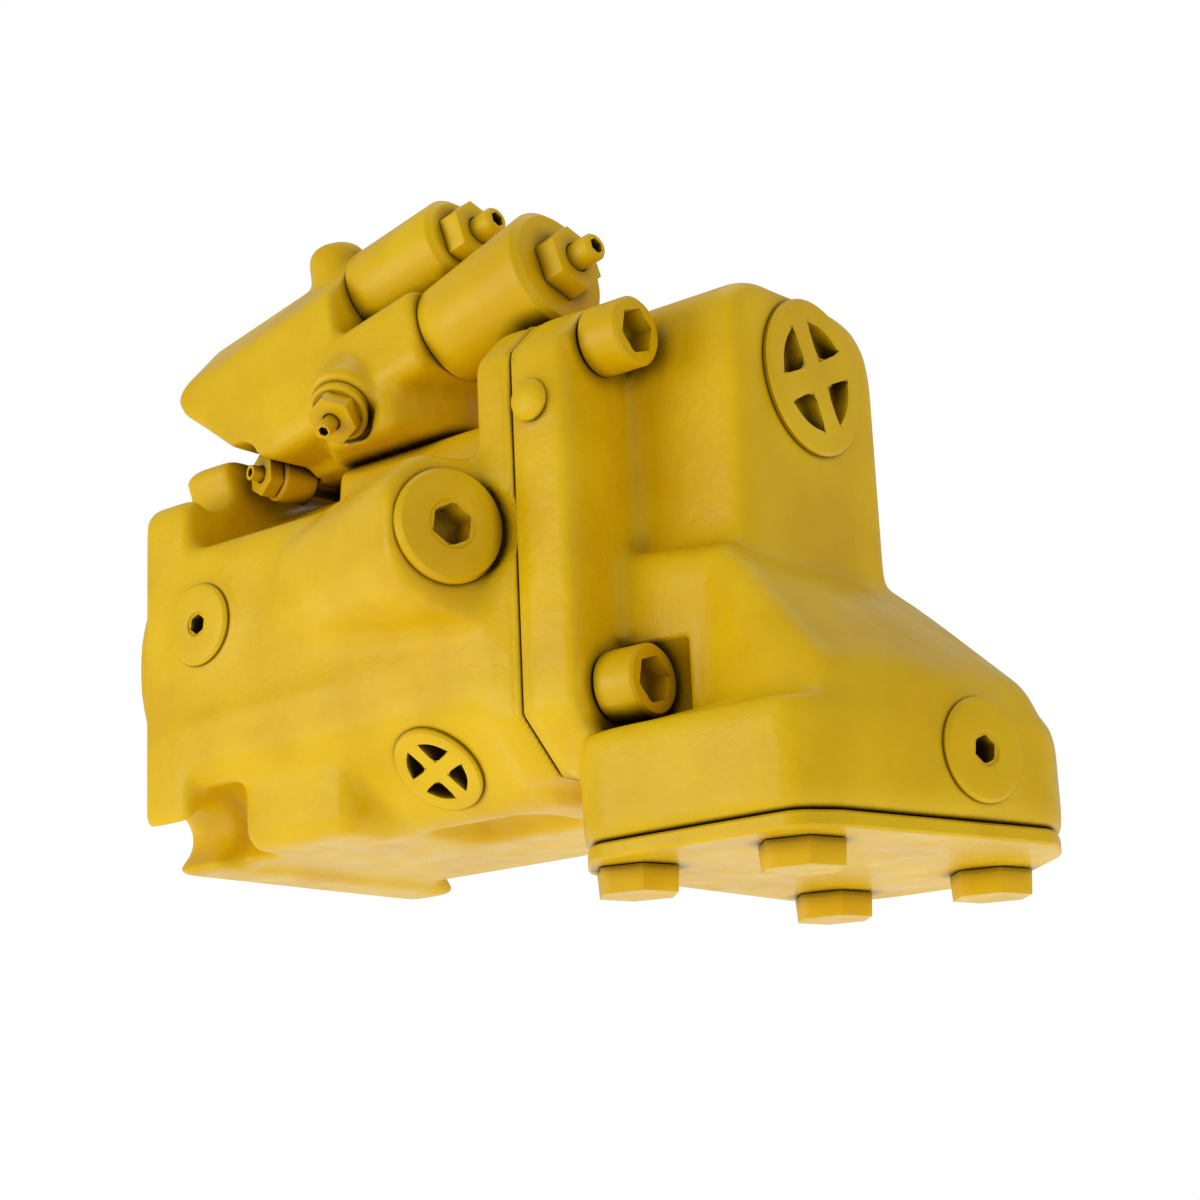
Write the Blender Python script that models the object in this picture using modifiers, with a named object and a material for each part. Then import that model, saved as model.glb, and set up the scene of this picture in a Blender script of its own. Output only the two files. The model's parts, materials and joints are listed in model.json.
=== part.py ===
"""Variable axial piston pump, modelled as an assembly of its separate pieces.

The origin is the centre of the mounting face on the shaft axis. +X runs along the shaft axis towards the
port block, +Z is up and -Y is the side that carries the servo piston. All sizes are in millimetres and MM
turns them into metres.
"""
import math

import bmesh
import bpy
from mathutils import Matrix, Vector

MM = 0.001
GAP = 0.3  # left between two pieces that rest on each other

# ---------------------------------------------------------------- driving dimensions
SEAM_X = 178.8  # joint face between the main housing and the port block
REAR_X = 202.0  # rear face of the port block's flange
SIDE_Y = 77.0  # half width of the housing

MOUNT_BOLT_PITCH = 127.2  # square of the four mounting slots
MOUNT_THICKNESS = 24.0
MOUNT_HALF_HEIGHT = 77.0
PILOT_RADIUS = 70.0
PILOT_LENGTH = 12.0
SLOT_RADIUS = 9.0
HEAD_RADIUS = 15.0  # room for a bolt's head behind each slot
HEAD_DEPTH = 22.0

BARREL_RADIUS = 65.0
CAVITY_RADIUS = 58.0
CAVITY_FRONT_X = 62.0
VALVE_PAD_Z = 64.0

PORT_HALF_WIDTH = 75.5
PORT_BOTTOM_Z = -68.0
PORT_TOP_Z = 84.8
PORT_SCREW_Y = 57.0
PORT_SCREW_Z = (72.5, -42.5)

COLUMN_HALF_WIDTH = 41.0
COLUMN_REAR_X = 245.5
COLUMN_TOP_Z = 92.0
PRESSURE_PORT_Z = 63.0
PRESSURE_PORT_RADIUS = 20.0

SUCTION_X = 236.0  # centre of the suction port
SUCTION_FACE_Z = -94.2
SUCTION_RADIUS = 38.0
SUCTION_BOLT_X = 61.9 / 2
SUCTION_BOLT_Y = 106.4 / 2
COVER_THICKNESS = 5.0
GAUGE_PORT = Vector((305.6, -10.9, -73.0))
GAUGE_AXIS = Vector((0.973, -0.229, 0.0)).normalized()

SWASH_PIVOT_X = 80.0
SWASH_PIVOT = Vector((SWASH_PIVOT_X, 0.0, 0.0))
SWASH_LIMIT = math.radians(17.0)
SWASH_LEAN = Vector((math.cos(SWASH_LIMIT), math.sin(SWASH_LIMIT), 0.0))
CRADLE_RADIUS = 42.0
PISTON_COUNT = 9
PISTON_CIRCLE = 37.0
PISTON_RADIUS = 10.4
PISTON_BORE = 10.75
BLOCK_RADIUS = 50.0
BLOCK_FRONT_X = 112.0
BLOCK_REAR_X = 174.0

SERVO_YAW = 20.0  # degrees that the servo bore turns away from the shaft axis
SERVO_FACE = Vector((161.5, -88.0, 13.0))
SERVO_DIRECTION = Vector((-math.cos(math.radians(SERVO_YAW)), math.sin(math.radians(SERVO_YAW)), 0.0))
BIAS_Y = 66.0

VALVE_YAW = 2.0  # degrees that the valve's bores turn away from the shaft axis
VALVE_PITCH = 10.5  # degrees that they rise towards the rear
VALVE_ORIGIN = Vector((178.2, -46.0, 108.8))  # centre of the pressure cap's end face
LOWER_CAP_LENGTH = 51.5
UPPER_CAP_END = -45.5
UPPER_CAP_LENGTH = 44.0
UPPER_BORE_Y = 7.0
UPPER_BORE_Z = 36.8

# ---------------------------------------------------------------- collections and materials
for stale in list(bpy.data.objects):
    bpy.data.objects.remove(stale, do_unlink=True)

PARTS = bpy.data.collections.new("axial_piston_pump")
bpy.context.scene.collection.children.link(PARTS)


def material(name, colour, roughness, metallic):
    made = bpy.data.materials.new(name)
    made.use_nodes = True
    shader = made.node_tree.nodes["Principled BSDF"]
    shader.inputs["Base Color"].default_value = (*colour, 1.0)
    shader.inputs["Roughness"].default_value = roughness
    shader.inputs["Metallic"].default_value = metallic
    return made


PAINT = material("yellow_paint", (0.78, 0.50, 0.01), 0.35, 0.0)
STEEL = material("ground_steel", (0.55, 0.56, 0.57), 0.3, 1.0)
SPRING_STEEL = material("spring_steel", (0.30, 0.31, 0.33), 0.35, 1.0)
BRONZE = material("bearing_bronze", (0.72, 0.48, 0.22), 0.35, 1.0)
RUBBER = material("seal_rubber", (0.03, 0.03, 0.03), 0.6, 0.0)

# ---------------------------------------------------------------- building blocks
ALONG_X = Matrix(((0, 0, 1, 0), (1, 0, 0, 0), (0, 1, 0, 0), (0, 0, 0, 1)))  # drawn in (y, z), thick along x
ALONG_Z = Matrix.Identity(4)  # drawn in (x, y), thick along z
ALONG_Y = Matrix(((1, 0, 0, 0), (0, 0, -1, 0), (0, 1, 0, 0), (0, 0, 0, 1)))  # drawn in (x, z), thick along -y


def link(mesh, name="work"):
    thing = bpy.data.objects.new(name, mesh)
    PARTS.objects.link(thing)
    return thing


def bake(thing):
    """Replace an object by a plain mesh object of what its modifiers make."""
    bpy.context.view_layer.update()
    graph = bpy.context.evaluated_depsgraph_get()
    mesh = bpy.data.meshes.new_from_object(thing.evaluated_get(graph), depsgraph=graph)
    mesh.transform(thing.matrix_world)
    made = link(mesh)
    bpy.data.objects.remove(thing, do_unlink=True)
    return made


def welded(thing, distance=0.001):
    work = bmesh.new()
    work.from_mesh(thing.data)
    bmesh.ops.remove_doubles(work, verts=work.verts, dist=distance * MM)
    bmesh.ops.recalc_face_normals(work, faces=work.faces)
    work.to_mesh(thing.data)
    work.free()
    return thing


def towards(origin, direction, turn=0.0):
    """A frame at origin whose local Z looks along direction."""
    spin = Vector(direction).to_track_quat("Z", "Y").to_matrix().to_4x4()
    return Matrix.Translation(Vector(origin) * MM) @ spin @ Matrix.Rotation(math.radians(turn), 4, "Z")


def box(low, high):
    work = bmesh.new()
    bmesh.ops.create_cube(work, size=1.0)
    size = [b - a for a, b in zip(low, high)]
    middle = [(a + b) / 2 for a, b in zip(low, high)]
    bmesh.ops.scale(work, verts=work.verts, vec=[s * MM for s in size])
    bmesh.ops.translate(work, verts=work.verts, vec=[m * MM for m in middle])
    mesh = bpy.data.meshes.new("box")
    work.to_mesh(mesh)
    work.free()
    return link(mesh)


def rod(start, end, radius, end_radius=None, sides=32, turn=0.0):
    """A cylinder, cone or regular prism between two points."""
    start, end = Vector(start), Vector(end)
    work = bmesh.new()
    bmesh.ops.create_cone(
        work,
        cap_ends=True,
        segments=sides,
        radius1=radius * MM,
        radius2=(radius if end_radius is None else end_radius) * MM,
        depth=(end - start).length * MM,
    )
    work.transform(towards((start + end) / 2, end - start, turn))
    mesh = bpy.data.meshes.new("rod")
    work.to_mesh(mesh)
    work.free()
    return link(mesh)


def ball(centre, radius, sides=24):
    work = bmesh.new()
    bmesh.ops.create_uvsphere(work, u_segments=sides, v_segments=sides // 2, radius=radius * MM)
    bmesh.ops.translate(work, verts=work.verts, vec=Vector(centre) * MM)
    mesh = bpy.data.meshes.new("ball")
    work.to_mesh(mesh)
    work.free()
    return link(mesh)


def rounded(corners, steps=3):
    """Outline points from (u, v, radius) corners, with each corner turned into an arc."""
    points = []
    count = len(corners)
    for i, (u, v, radius) in enumerate(corners):
        here = Vector((u, v))
        before = (Vector(corners[i - 1][:2]) - here).normalized()
        after = (Vector(corners[(i + 1) % count][:2]) - here).normalized()
        if radius <= 0:
            points.append(here)
            continue
        half = math.acos(max(-1.0, min(1.0, before.dot(after)))) / 2
        reach = radius / math.tan(half)
        centre = here + (before + after).normalized() * (radius / math.sin(half))
        first = here + before * reach - centre
        last = here + after * reach - centre
        sweep = first.angle_signed(last)
        for k in range(steps + 1):
            points.append(centre + Matrix.Rotation(-sweep * k / steps, 2) @ first)
    return points


def prism(points, low, high, frame):
    """A flat outline made thick, from low to high along the frame's third axis."""
    work = bmesh.new()
    loops = []
    for height in (low, high):
        loops.append([work.verts.new((p[0] * MM, p[1] * MM, height * MM)) for p in points])
    work.faces.new(loops[0])
    work.faces.new(loops[1])
    for i in range(len(points)):
        k = (i + 1) % len(points)
        work.faces.new((loops[0][i], loops[0][k], loops[1][k], loops[1][i]))
    bmesh.ops.recalc_face_normals(work, faces=work.faces)
    work.transform(frame)
    mesh = bpy.data.meshes.new("prism")
    work.to_mesh(mesh)
    work.free()
    return link(mesh)


def hull(points):
    """The convex solid around a set of points."""
    work = bmesh.new()
    corners = [work.verts.new(Vector(p) * MM) for p in points]
    made = bmesh.ops.convex_hull(work, input=corners)
    loose = [v for v in made["geom_interior"] if isinstance(v, bmesh.types.BMVert)]
    bmesh.ops.delete(work, geom=loose, context="VERTS")
    bmesh.ops.dissolve_limit(work, angle_limit=math.radians(1), verts=work.verts, edges=work.edges)
    bmesh.ops.recalc_face_normals(work, faces=work.faces)
    mesh = bpy.data.meshes.new("hull")
    work.to_mesh(mesh)
    work.free()
    return link(mesh)


def turned(profile, frame, sides=32, ring=False):
    """A turned solid from (radius, height) points, listed from the top down its outer side."""
    mesh = bpy.data.meshes.new("profile")
    edges = [(i, i + 1) for i in range(len(profile) - 1)]
    if ring:
        edges.append((len(profile) - 1, 0))
    mesh.from_pydata([(r * MM, 0.0, h * MM) for r, h in profile], edges, [])
    thing = link(mesh)
    screw = thing.modifiers.new("turn", "SCREW")
    screw.axis = "Z"
    screw.steps = screw.render_steps = sides
    screw.use_merge_vertices = True
    screw.merge_threshold = 0.00001
    thing.matrix_world = frame
    return welded(bake(thing))


def softened(thing, width, segments=1, angle=35.0):
    bevel = thing.modifiers.new("edges", "BEVEL")
    bevel.width = width * MM
    bevel.segments = segments
    bevel.limit_method = "ANGLE"
    bevel.angle_limit = math.radians(angle)
    return bake(thing)


def boolean(target, tool, operation):
    step = target.modifiers.new(operation.lower(), "BOOLEAN")
    step.operation = operation
    step.object = tool
    made = bake(target)
    bpy.data.objects.remove(tool, do_unlink=True)
    return made


def joined(target, *tools):
    for tool in tools:
        target = boolean(target, tool, "UNION")
    return target


def cut(target, *tools):
    for tool in tools:
        target = boolean(target, tool, "DIFFERENCE")
    return target


def finish(thing, name, look, angle=32.0):
    """Name a finished piece, clean its mesh, and give it its material."""
    work = bmesh.new()
    work.from_mesh(thing.data)
    bmesh.ops.remove_doubles(work, verts=work.verts, dist=0.002 * MM)
    bmesh.ops.dissolve_degenerate(work, edges=work.edges, dist=0.002 * MM)
    work.to_mesh(thing.data)
    work.free()
    thing.name = name
    thing.data.name = name
    thing.data.materials.clear()
    thing.data.materials.append(look)
    thing.data.shade_smooth()
    thing.data.set_sharp_from_angle(angle=math.radians(angle))
    return thing


def servo(distance, side=0.0):
    """A point distance in from the servo bore's outer face, and side outward from its axis."""
    return SERVO_FACE + SERVO_DIRECTION * distance + SERVO_ACROSS * side


SERVO_ACROSS = Vector((SERVO_DIRECTION.y, -SERVO_DIRECTION.x, 0.0)) * -1.0  # away from the shaft
SERVO_FRAME = Matrix.Translation(SERVO_FACE * MM) @ Matrix((
    (SERVO_ACROSS.x, 0, -SERVO_DIRECTION.x, 0), (SERVO_ACROSS.y, 0, -SERVO_DIRECTION.y, 0),
    (0, 1, 0, 0), (0, 0, 0, 1)))
VALVE_TURN = Matrix.Rotation(math.radians(-VALVE_YAW), 4, "Z") @ Matrix.Rotation(math.radians(-VALVE_PITCH), 4, "Y")
VALVE_FRAME = Matrix.Translation(VALVE_ORIGIN * MM) @ VALVE_TURN


def valve(along, across=0.0, up=0.0):
    """A point in the control valve's own frame: along its bores, across them and up."""
    return VALVE_ORIGIN + VALVE_TURN.to_3x3() @ Vector((along, across, up))


VALVE_ALONG = valve(1) - valve(0)
LIMITER_END = Vector((34.7, -55.5, 68.0))
LIMITER_AXIS = Vector((-0.25, -0.968, 0.0)).normalized()


# ---------------------------------------------------------------- castings
def mount_slot(side_y, side_z, radius, low, high):
    """One mounting slot, or the room behind it, open towards its corner of the flange."""
    pitch = MOUNT_BOLT_PITCH / 2
    turn = Matrix.Rotation(math.atan2(side_z, side_y), 2)
    outline = rounded([(-radius, -radius, radius * 0.98), (34, -radius, 0),
                       (34, radius, 0), (-radius, radius, radius * 0.98)])
    middle = Vector((side_y * pitch, side_z * pitch))
    return prism([middle + turn @ p for p in outline], low, high, ALONG_X)


def main_housing():
    lower, upper = 16.0, 24.0
    flange = softened(prism(rounded([
        (-SIDE_Y, -MOUNT_HALF_HEIGHT + lower, 6), (-SIDE_Y + lower, -MOUNT_HALF_HEIGHT, 6),
        (SIDE_Y - lower, -MOUNT_HALF_HEIGHT, 6), (SIDE_Y, -MOUNT_HALF_HEIGHT + lower, 6),
        (SIDE_Y, MOUNT_HALF_HEIGHT - upper, 6), (SIDE_Y - upper, MOUNT_HALF_HEIGHT, 6),
        (-SIDE_Y + upper, MOUNT_HALF_HEIGHT, 6), (-SIDE_Y, MOUNT_HALF_HEIGHT - upper, 6)]),
        0, MOUNT_THICKNESS, ALONG_X), 1.2, 1)
    pilot = softened(rod((-PILOT_LENGTH, 0, 0), (6, 0, 0), PILOT_RADIUS, sides=40), 1.2, 1)
    barrel = rod((18, 0, 0), (SEAM_X - GAP / 2, 0, 0), BARREL_RADIUS, sides=40)
    walls = softened(prism([(-SIDE_Y, -44), (-48, -74), (48, -74), (SIDE_Y, -44), (SIDE_Y, 38), (-SIDE_Y, 38)],
                           16, SEAM_X - GAP / 2 - 6, ALONG_X), 4)
    rear_flange = softened(prism(rounded([
        (-PORT_HALF_WIDTH, PORT_BOTTOM_Z + 18, 3), (-PORT_HALF_WIDTH + 18, PORT_BOTTOM_Z, 3),
        (PORT_HALF_WIDTH - 18, PORT_BOTTOM_Z, 3), (PORT_HALF_WIDTH, PORT_BOTTOM_Z + 18, 3),
        (PORT_HALF_WIDTH, PORT_TOP_Z - 14, 6), (PORT_HALF_WIDTH - 14, PORT_TOP_Z, 6),
        (-PORT_HALF_WIDTH + 14, PORT_TOP_Z, 6), (-PORT_HALF_WIDTH, PORT_TOP_Z - 14, 6)]),
        SEAM_X - 16, SEAM_X - GAP / 2, ALONG_X), 1.0, 1)
    servo_boss = softened(prism(rounded([
        (22, -8, 5), (22, 12, 10), (11, 25, 10), (-34, 25, 0), (-34, -41, 0), (-17, -39, 3), (-9, -31, 6),
        (6, -26, 6), (17, -19, 8)], 3), -118, 0, SERVO_FRAME), 1.5, 1)
    servo_cheek = softened(prism([(servo(2, -18).x, servo(2, -18).y), (SEAM_X - 5, -69), (SEAM_X - 20, -50),
                                  (120, -60)], -26, 38, ALONG_Z), 3, 1)
    bias_boss = softened(rod((20, BIAS_Y, 0), (168, BIAS_Y, 0), 16, sides=24), 2.0)
    valve_pad = softened(prism([(68, -46), (SEAM_X - 14, -46), (SEAM_X - 14, 32), (68, 32)],
                               20, VALVE_PAD_Z, ALONG_Z), 3)
    lower_pad = softened(box((20, -71, -75), (98, -40, -42)), 5)
    ridge = rod((18, -73.2, -29), (SEAM_X - 8, -72.2, -24), 5.5, sides=12)
    drain_axis = Vector((0, -1, -1)).normalized()
    drain_at = Vector((132, -62.5, -57.5))
    drain_boss = rod(drain_at - drain_axis * 22, drain_at, 19, sides=24)
    case_boss = rod((33, -60, 7), (33, -SIDE_Y - 1.2, 7), 17.5, sides=24)

    body = joined(flange, pilot, barrel, walls, rear_flange, servo_boss, servo_cheek, bias_boss,
                  valve_pad, lower_pad, ridge, drain_boss, case_boss)

    limits = cut(body, box((MOUNT_THICKNESS, -200, VALVE_PAD_Z), (SEAM_X - 16, 200, 200)))
    bores = [
        rod((CAVITY_FRONT_X, 0, 0), (SEAM_X + 5, 0, 0), CAVITY_RADIUS, sides=40),
        rod((SWASH_PIVOT_X, 0, -46), (SWASH_PIVOT_X, 0, 46), CRADLE_RADIUS + 3.2, sides=40),
        rod(SWASH_PIVOT - SWASH_LEAN * 17.3, SWASH_PIVOT, 55.5, sides=40),
        rod((4, 0, 0), (30, 0, 0), 38, sides=40),
        rod((-PILOT_LENGTH - 1, 0, 0), (5, 0, 0), 32, sides=40),
        rod((25, 0, 0), (45, 0, 0), 26, sides=40),
        box((61, -75, -1), (108, -45, 31)),
        box((40, 45, -14), (94, 72.5, 14)),
        rod(servo(-2), servo(14), 16.4, sides=24),
        rod(servo(12), servo(74), 14.0, sides=24),
        rod((90, BIAS_Y, 0), (150, BIAS_Y, 0), 6.6, sides=24),
        rod((33, -SIDE_Y - 5, 7), (33, -62, 7), 11.4, sides=24),
        rod(drain_at + drain_axis * 2, drain_at - drain_axis * 16, 13.4, sides=24),
        rod(drain_at, drain_at + drain_axis * 20, 17.4, sides=24),
        rod(servo(0), servo(-26), 20.4, sides=28),
        rod((74, 12, VALVE_PAD_Z + 3), (74, 12, 58.2), 4.2, sides=12),
        rod((116, 12, VALVE_PAD_Z + 3), (116, 12, 58.2), 4.2, sides=12),
        rod((104, -20, VALVE_PAD_Z + 5), (104, -20, 40), 4, sides=16),
        softened(box((100, -40, -90), (152, -8, -66)), 5, 1),
    ]
    for side_y in (-1, 1):
        for side_z in (-1, 1):
            bores.append(mount_slot(side_y, side_z, SLOT_RADIUS, -1, MOUNT_THICKNESS + 1))
            bores.append(mount_slot(side_y, side_z, HEAD_RADIUS, MOUNT_THICKNESS, MOUNT_THICKNESS + HEAD_DEPTH))
    for side_y in (-1, 1):
        for height in PORT_SCREW_Z:
            bores.append(rod((SEAM_X - 30, side_y * PORT_SCREW_Y, height),
                             (SEAM_X + 5, side_y * PORT_SCREW_Y, height), 8.3, sides=16))
    finish(cut(limits, *bores), "main_housing", PAINT)


def suction_outline(grow=0.0):
    """Plan of the suction end of the port block and of its cover."""
    corners = [(186, -56, 12), (206, -79, 16), (283, -79, 10), (291, -66, 8), (311.5, 21, 18), (300, 44, 20),
               (272, 70, 24), (240, 79, 20), (206, 79, 16), (186, 56, 12)]
    middle = Vector((SUCTION_X, 0))
    out = []
    for x, y, radius in corners:
        away = (Vector((x, y)) - middle).normalized() * grow
        out.append((x + away.x, y + away.y, radius))
    return rounded(out)


def port_block():
    flange = softened(prism(rounded([
        (-PORT_HALF_WIDTH, PORT_BOTTOM_Z + 18, 2), (-PORT_HALF_WIDTH + 18, PORT_BOTTOM_Z, 2),
        (PORT_HALF_WIDTH - 18, PORT_BOTTOM_Z, 2), (PORT_HALF_WIDTH, PORT_BOTTOM_Z + 18, 2),
        (PORT_HALF_WIDTH, PORT_TOP_Z - 14, 6), (PORT_HALF_WIDTH - 14, PORT_TOP_Z, 6),
        (-PORT_HALF_WIDTH + 14, PORT_TOP_Z, 6), (-PORT_HALF_WIDTH, PORT_TOP_Z - 14, 6)]),
        SEAM_X + GAP / 2, REAR_X, ALONG_X), 1.5, 1)
    column = softened(prism(rounded([
        (-COLUMN_HALF_WIDTH, -70, 0), (COLUMN_HALF_WIDTH, -70, 0),
        (COLUMN_HALF_WIDTH, COLUMN_TOP_Z, 20), (-COLUMN_HALF_WIDTH, COLUMN_TOP_Z, 16)]),
        190, COLUMN_REAR_X, ALONG_X), 3.5)
    hips = softened(prism([(192, 4), (192, -75), (COLUMN_REAR_X + 2, -75), (COLUMN_REAR_X + 2, -2)],
                          -52, 52, ALONG_Y), 4)
    slope = softened(hull([
        (232, -50, -1), (232, 50, -1), (246, -51, -4), (246, 51, -4),
        (277, -52, -45), (288, -65, -50), (300, -30, -51), (307, 18, -51), (297, 41, -52), (272, 62, -52),
        (232, -51, -76), (285, -72, -76), (289, -65, -76), (309, 20, -76), (298, 43, -76), (272, 68, -76),
        (232, 51, -76)]), 4)
    ledges = []
    for side in (-1, 1):
        top = [(206, side * 76, -61), (272, side * 68, -60), (264, side * 58, -53), (206, side * 51, -55)]
        ledges.append(softened(hull(top + [(x, y, -76) for x, y, _ in top]), 1.5, 1))
    drum = softened(prism(suction_outline(), SUCTION_FACE_Z, -59.5, ALONG_Z), 2.5)
    lip = softened(box((166, -20, SUCTION_FACE_Z + 0.2), (200, 20, -80)), 2.0, 1)
    neck = softened(box((SEAM_X + 8, -54, -90), (212, 54, -56)), 3)
    cast_dome = ball((190, -PORT_HALF_WIDTH + 5, 53), 9, 12)
    plug_boss = rod(GAUGE_PORT - GAUGE_AXIS * 14, GAUGE_PORT - GAUGE_AXIS * 0.8, 18, sides=24)
    far_web = softened(box((SEAM_X + 3, 40, -66), (232, 62, -20)), 3)

    body = joined(flange, column, hips, slope, *ledges, drum, lip, neck, cast_dome, plug_boss, far_web)
    cutters = [
        rod((SUCTION_X, 0, SUCTION_FACE_Z - 5), (SUCTION_X, 0, -38), SUCTION_RADIUS, sides=40),
        rod((SUCTION_X, 0, -56), (SEAM_X - 6, 0, -30), 15, sides=24),
        rod((COLUMN_REAR_X + 5, 0, PRESSURE_PORT_Z), (208, 0, PRESSURE_PORT_Z), PRESSURE_PORT_RADIUS, sides=24),
        rod((218, 0, 56), (SEAM_X - 5, 0, 36), 8, sides=24),
        rod((SEAM_X - 5, 0, 0), (SEAM_X + 22, 0, 0), 26.3, sides=40),
        rod(GAUGE_PORT + GAUGE_AXIS * 4, GAUGE_PORT - GAUGE_AXIS * 15, 12.4, sides=24),
        rod(GAUGE_PORT - GAUGE_AXIS * 12, GAUGE_PORT - GAUGE_AXIS * 38, 5, sides=12),
    ]
    for side_y in (-1, 1):
        cutters.append(rod((REAR_X, side_y * PORT_SCREW_Y, PORT_SCREW_Z[1]),
                           (REAR_X + 26, side_y * PORT_SCREW_Y, PORT_SCREW_Z[1]), 14.5, sides=24))
        for height in PORT_SCREW_Z:
            cutters.append(rod((SEAM_X - 5, side_y * PORT_SCREW_Y, height),
                               (REAR_X + 5, side_y * PORT_SCREW_Y, height), 8.6, sides=16))
        for along in (-1, 1):
            spot = (SUCTION_X + along * SUCTION_BOLT_X, side_y * SUCTION_BOLT_Y)
            cutters.append(rod((*spot, SUCTION_FACE_Z - 5), (*spot, SUCTION_FACE_Z + 26), 8.3, sides=16))
    finish(cut(body, *cutters), "port_block", PAINT)


def suction_cover():
    high = SUCTION_FACE_Z - GAP
    plate = softened(prism(suction_outline(-1.0), high - COVER_THICKNESS, high, ALONG_Z), 0.8, 1)
    holes = []
    for side_y in (-1, 1):
        for along in (-1, 1):
            spot = (SUCTION_X + along * SUCTION_BOLT_X, side_y * SUCTION_BOLT_Y)
            holes.append(rod((*spot, high - 20), (*spot, high + 5), 8.6, sides=16))
    finish(cut(plate, *holes), "suction_cover_plate", PAINT)
    return high - COVER_THICKNESS


# ---------------------------------------------------------------- fasteners and plugs
def hex_bolt(name, seat, direction, length):
    """A hexagon head bolt: the head stands on seat and the shank runs along direction."""
    direction = Vector(direction)
    seat = Vector(seat)
    head = rod(seat - direction * GAP, seat - direction * 8.5, 13.86, 13.3, sides=6, turn=15)
    shank = rod(seat - direction * 4, seat + direction * length, 7.95, sides=14)
    finish(joined(head, shank), name, PAINT)


def socket_screw(name, seat, direction, length, size=16.0):
    """A socket head cap screw of the given thread size."""
    direction = Vector(direction)
    seat = Vector(seat)
    top = seat - direction * (size + GAP)
    head = softened(rod(top, seat - direction * GAP, size * 0.75, sides=16), size * 0.06, 1)
    shank = rod(seat - direction * 4, seat + direction * length, size / 2 - 0.3, sides=12)
    socket = rod(top - direction, top + direction * size * 0.5, size * 0.505, sides=6, turn=12)
    finish(cut(joined(head, shank), socket), name, PAINT)


def hex_plug(name, face, outward, radius, height, thread, depth, across_flats):
    """A screwed plug with a turned collar and a hexagon socket."""
    frame = towards(face, outward)
    body = turned([(0, height), (radius * 0.8, height), (radius * 0.94, height * 0.86), (radius, height * 0.45),
                   (radius, GAP), (thread, GAP), (thread, -depth), (0, -depth)], frame, 20)
    outward = Vector(outward)
    top = Vector(face) + outward * (height + 1)
    corner = across_flats / math.sqrt(3)
    mouth = rod(top, Vector(face) + outward * (height - 0.8), corner * 1.1 + 1.5, corner * 1.1, sides=12)
    socket = rod(top, Vector(face) - outward * (depth * 0.55), corner, sides=6, turn=8)
    finish(cut(body, mouth, socket), name, PAINT)


def cross_plug(name, face, outward, radius, thread, depth, turn):
    """A port plug with a dished face and a raised cross to turn it by."""
    outward = Vector(outward)
    frame = towards(face, outward, turn)
    body = turned([(0, 2.6), (radius * 0.96, 2.6), (radius, 1.6), (radius, GAP), (thread, GAP), (thread, -depth),
                   (0, -depth)], frame, 28)
    pockets = []
    inner, outer = radius * 0.15, radius * 0.7
    for quarter in range(4):
        corner = frame @ Matrix.Rotation(math.radians(90 * quarter), 4, "Z")
        arc = [(outer * math.cos(math.radians(a)), outer * math.sin(math.radians(a))) for a in (14, 35, 55, 76)]
        pockets.append(prism([(inner, inner)] + arc, -3.4, 5, corner))
    finish(cut(body, *pockets), name, PAINT)


def fasteners_and_plugs(cover_face):
    number = 0
    for side_y in (-1, 1):
        for along in (-1, 1):
            number += 1
            spot = (SUCTION_X + along * SUCTION_BOLT_X, side_y * SUCTION_BOLT_Y, cover_face)
            hex_bolt(f"suction_cover_bolt_{number}", spot, (0, 0, 1), 28)
    number = 0
    for side_y in (-1, 1):
        for height in PORT_SCREW_Z:
            number += 1
            socket_screw(f"port_block_screw_{number}", (REAR_X, side_y * PORT_SCREW_Y, height), (-1, 0, 0), 46)
    hex_plug("servo_bore_plug", servo(0), -SERVO_DIRECTION, 19.5, 4.5, 16.0, 12.5, 13)
    hex_plug("case_drain_plug", (33, -SIDE_Y - 1.2, 7), (0, -1, 0), 15, 2.4, 11.0, 12, 6.5)
    hex_plug("gauge_port_plug", GAUGE_PORT - GAUGE_AXIS * 0.8, GAUGE_AXIS, 16.5, 2.4, 12.0, 13, 8)
    drain_axis = Vector((0, -1, -1)).normalized()
    cross_plug("lower_drain_plug", (132, -62.5, -57.5), drain_axis, 16.5, 13.0, 12, 20)
    cross_plug("pressure_port_plug", (COLUMN_REAR_X, 0, PRESSURE_PORT_Z), (1, 0, 0), 27, 19.6, 15, 25)


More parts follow.
